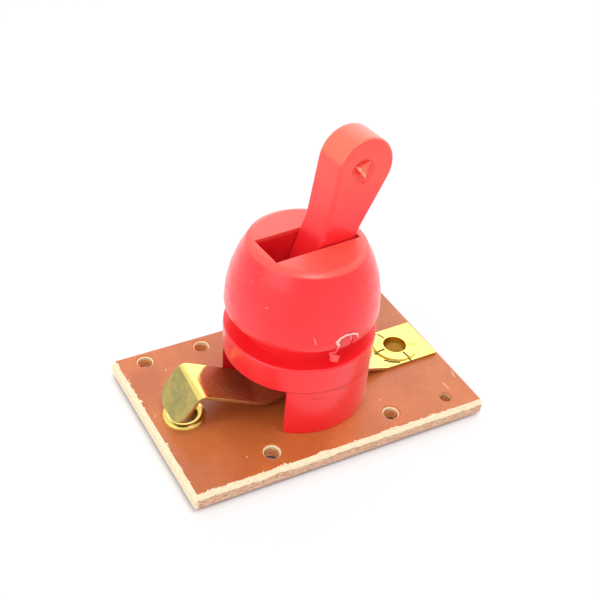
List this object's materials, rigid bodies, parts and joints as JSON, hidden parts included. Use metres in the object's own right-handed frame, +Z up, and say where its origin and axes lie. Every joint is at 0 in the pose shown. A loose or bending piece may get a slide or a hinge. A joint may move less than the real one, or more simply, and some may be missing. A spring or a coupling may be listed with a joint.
{
  "type": "toggle switch",
  "caption": "Small toggle switch on a wiring board: tipping the lever presses a brass leaf onto an eyelet contact.",
  "frame": {"origin": "where the axis of the round housing meets the underside of the board", "axes": "+Z up out of the board along the housing's axis, +X along the board's long edges from the contact end to the terminal end"},
  "size_m": [0.0358, 0.0227, 0.032],
  "materials": {
    "board": "satin",
    "red_plastic": "gloss",
    "brass": "polished"
  },
  "bodies": {
    "base": {"base_board": "board", "switch_housing": "red_plastic", "pivot_pin": "red_plastic", "contact_eyelet": "brass", "terminal_eyelet": "brass"},
    "lever": {"toggle_lever": "red_plastic"},
    "spring_arm": {"contact_spring": "brass"}
  },
  "joints": [
    {"name": "lever_tip", "type": "hinge", "parent": "base", "child": "lever", "pos_m": [0, 0, 0.01337], "axis": [0.1045, -0.9945, 0], "range_deg": [0, 35]},
    {"name": "leaf_flex", "type": "hinge", "parent": "base", "child": "spring_arm", "pos_m": [0.01068, 0.00031, 0.0018], "axis": [0.0314, -0.9995, 0], "range_deg": [0, 1.4], "deforming": ["contact_spring"]}
  ],
  "couplings": [
    {"joint": "leaf_flex", "follows": "lever_tip", "ratio": 0.04}
  ]
}
